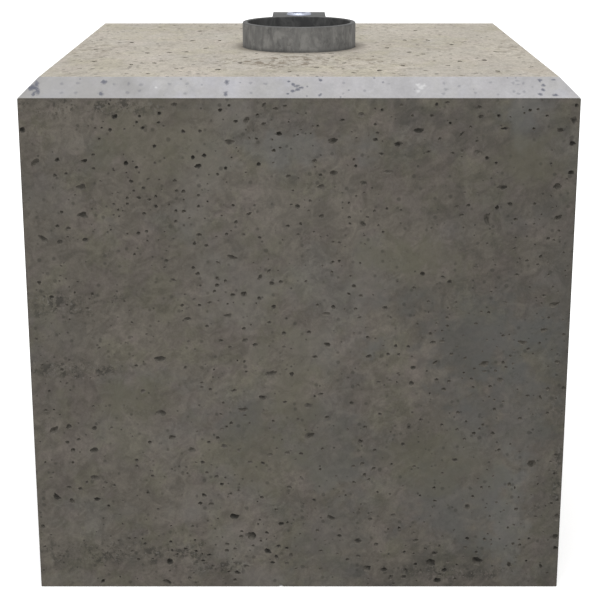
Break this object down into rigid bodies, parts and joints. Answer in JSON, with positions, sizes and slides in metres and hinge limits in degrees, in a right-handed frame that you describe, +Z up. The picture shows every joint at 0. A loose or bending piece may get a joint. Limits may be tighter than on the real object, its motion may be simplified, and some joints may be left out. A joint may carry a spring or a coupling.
{
  "type": "column base block",
  "caption": "Precast concrete block with chamfered top edges, a cast-in steel socket tube for a column, and a small steel earthing pad with a tapped boss.",
  "frame": {"origin": "middle of the block's underside, where it stands on the ground", "axes": "+Z up along the socket, +Y towards the back, where the earthing pad is, +X to the right"},
  "size_m": [0.6, 0.6, 0.6225],
  "materials": {
    "concrete": "formed grey concrete with air holes on the sides, paler floated concrete on top",
    "dull_steel": "weathered dull galvanised, streaked",
    "bright_steel": "bright turned stainless"
  },
  "bodies": {
    "root": {"concrete_block": "concrete", "socket_tube": "dull_steel", "earthing_pad": "dull_steel", "earthing_boss": "bright_steel"}
  },
  "joints": []
}
